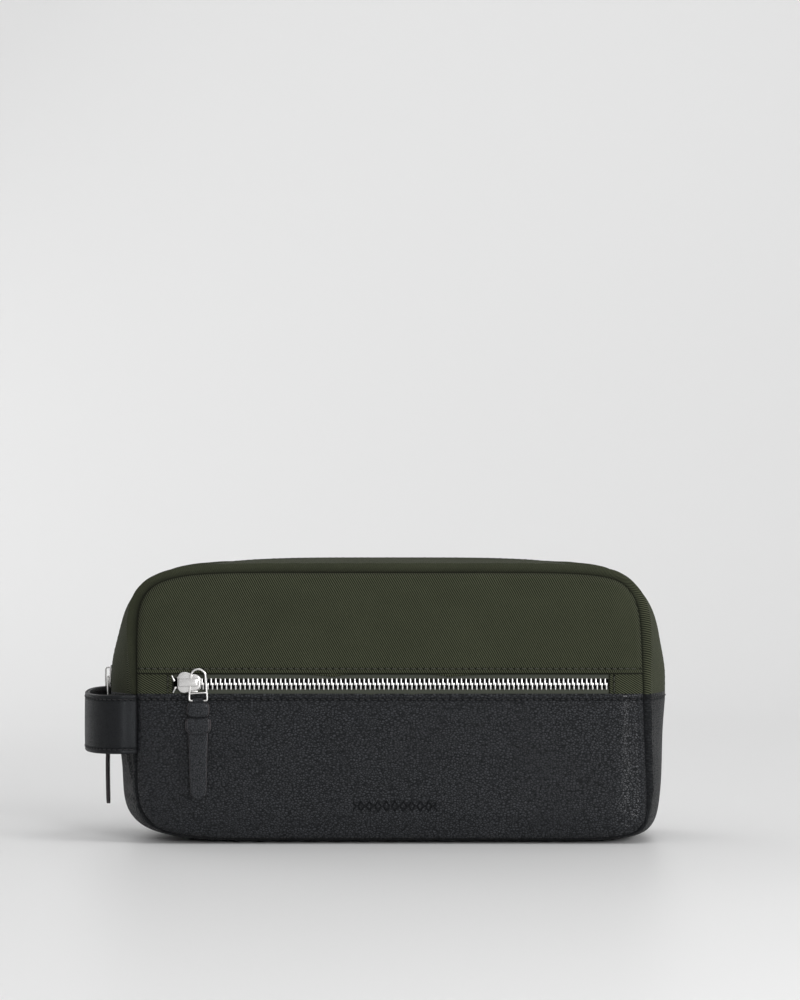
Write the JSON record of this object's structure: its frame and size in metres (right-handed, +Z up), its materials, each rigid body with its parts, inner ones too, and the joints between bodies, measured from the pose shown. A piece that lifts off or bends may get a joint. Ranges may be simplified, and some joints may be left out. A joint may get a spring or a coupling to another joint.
{
  "type": "wash bag",
  "caption": "Boxy canvas and leather wash bag with a zip over its top, a zipped front pocket, knotted leather zip pulls and a leather carrying loop on one end.",
  "frame": {"origin": "centre of the flat base, on the surface the bag stands on, half way between the panel seams", "axes": "+X along the bag away from its carrying loop, -Y out of the front pocket's side, +Z up"},
  "size_m": [0.3026, 0.1116, 0.1452],
  "materials": {
    "canvas": "olive cotton twill",
    "leather": "black pebbled leather, satin",
    "metal": "polished nickel plate",
    "zip_tape": "woven olive zip tape",
    "lining": "plain woven black lining",
    "board": "grey-brown stiffening board"
  },
  "bodies": {
    "bag": {"front_upper_panel": "canvas", "front_lower_panel": "leather", "front_zip_end_left": "canvas", "front_zip_end_right": "canvas", "front_zip_tape_upper": "zip_tape", "front_zip_tape_lower": "zip_tape", "front_zip_teeth_upper": "metal", "front_zip_teeth_lower": "metal", "front_zip_top_stops": "metal", "front_zip_bottom_stop": "metal", "back_upper_panel": "canvas", "back_lower_panel": "leather", "mouth_strip_front": "canvas", "mouth_strip_back": "canvas", "main_zip_tape_front": "zip_tape", "main_zip_tape_back": "zip_tape", "main_zip_teeth_front": "metal", "main_zip_teeth_back": "metal", "main_zip_top_stops": "metal", "main_zip_bottom_stop": "metal", "end_leather_left": "leather", "end_leather_right": "leather", "base_leather": "leather", "base_board": "board", "handle_outer": "leather", "handle_backing": "leather", "lining_front": "lining", "lining_back": "lining", "lining_base": "lining", "lining_mouth_front": "lining", "lining_mouth_back": "lining", "pocket_front": "lining", "pocket_back": "lining", "seam_binding_front": "lining", "seam_binding_back": "lining"},
    "front_slider": {"front_slider_body": "metal", "front_slider_plate": "metal", "front_slider_crown": "metal"},
    "front_loop": {"front_wire_loop": "metal"},
    "front_tab": {"front_pull": "leather"},
    "main_slider": {"main_slider_body": "metal", "main_slider_plate": "metal", "main_slider_crown": "metal"},
    "main_loop": {"main_wire_loop": "metal"},
    "main_tab": {"main_pull": "leather"}
  },
  "joints": [
    {"name": "front_zip_slide", "type": "slide", "parent": "bag", "child": "front_slider", "axis": [1, 0, 0], "range_m": [0, 0.204]},
    {"name": "front_loop_swing", "type": "hinge", "parent": "front_slider", "child": "front_loop", "pos_m": [-0.0983, -0.05563, 0.0823], "axis": [0, -1, 0], "range_deg": [-25, 50]},
    {"name": "front_pull_lift", "type": "hinge", "parent": "front_loop", "child": "front_tab", "pos_m": [-0.0983, -0.05563, 0.07325], "axis": [-1, 0, 0], "range_deg": [0, 90]},
    {"name": "main_zip_slide", "type": "slide", "parent": "bag", "child": "main_slider", "axis": [0, 0, 1], "range_m": [0, 0.008]},
    {"name": "main_loop_swing", "type": "hinge", "parent": "main_slider", "child": "main_loop", "pos_m": [-0.14802, 0, 0.0833], "axis": [0, 1, 0], "range_deg": [0, 5]},
    {"name": "main_pull_swing", "type": "hinge", "parent": "main_loop", "child": "main_tab", "pos_m": [-0.14802, 0, 0.06715], "axis": [0, 1, 0], "range_deg": [0, 7]}
  ]
}
